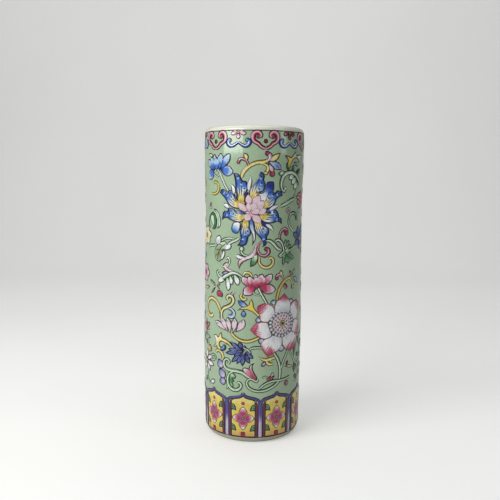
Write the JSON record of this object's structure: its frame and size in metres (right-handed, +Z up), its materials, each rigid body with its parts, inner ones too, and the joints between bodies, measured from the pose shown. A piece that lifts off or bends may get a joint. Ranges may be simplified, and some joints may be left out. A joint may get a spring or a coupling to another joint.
{
  "type": "cylindrical vase",
  "caption": "Tall cylindrical porcelain vase with a rounded lip, turned foot ring, glaze coats and raised enamel borders of cloud heads and lotus-petal lappets.",
  "frame": {"origin": "centre of the standing edge's plane, on the vase's axis", "axes": "+Z up along the vase's axis; -Y is the front shown in the picture; +X is to the right of that front"},
  "size_m": [0.0912, 0.091, 0.28],
  "materials": {
    "porcelain": "matte",
    "bare_foot": "matte",
    "clear_glaze": "gloss",
    "lip_glaze": "gloss",
    "green_ground": "gloss",
    "foot_glaze": "gloss",
    "dark_line": "gloss",
    "rose_enamel": "gloss",
    "red_enamel": "gloss",
    "blue_enamel": "gloss",
    "violet_enamel": "gloss",
    "yellow_enamel": "gloss",
    "green_enamel": "gloss",
    "white_enamel": "gloss"
  },
  "bodies": {
    "root": {"body_wall": "porcelain", "base_slab": "porcelain", "foot_ring": "bare_foot", "inner_glaze": "clear_glaze", "lip_glaze": "lip_glaze", "base_glaze": "clear_glaze", "outer_glaze": "green_ground", "foot_glaze": "foot_glaze", "rim_line": "dark_line", "foot_line": "dark_line", "ruyi_heads": "rose_enamel", "ruyi_beads": "red_enamel", "cloud_curls": "blue_enamel", "border_blossoms": "rose_enamel", "lappet_frames": "blue_enamel", "lappet_panels": "yellow_enamel", "lappet_flowers": "rose_enamel", "lappet_leaves": "green_enamel", "lappet_beads": "red_enamel", "lappet_tabs": "red_enamel", "lappet_piers": "violet_enamel"}
  },
  "joints": []
}
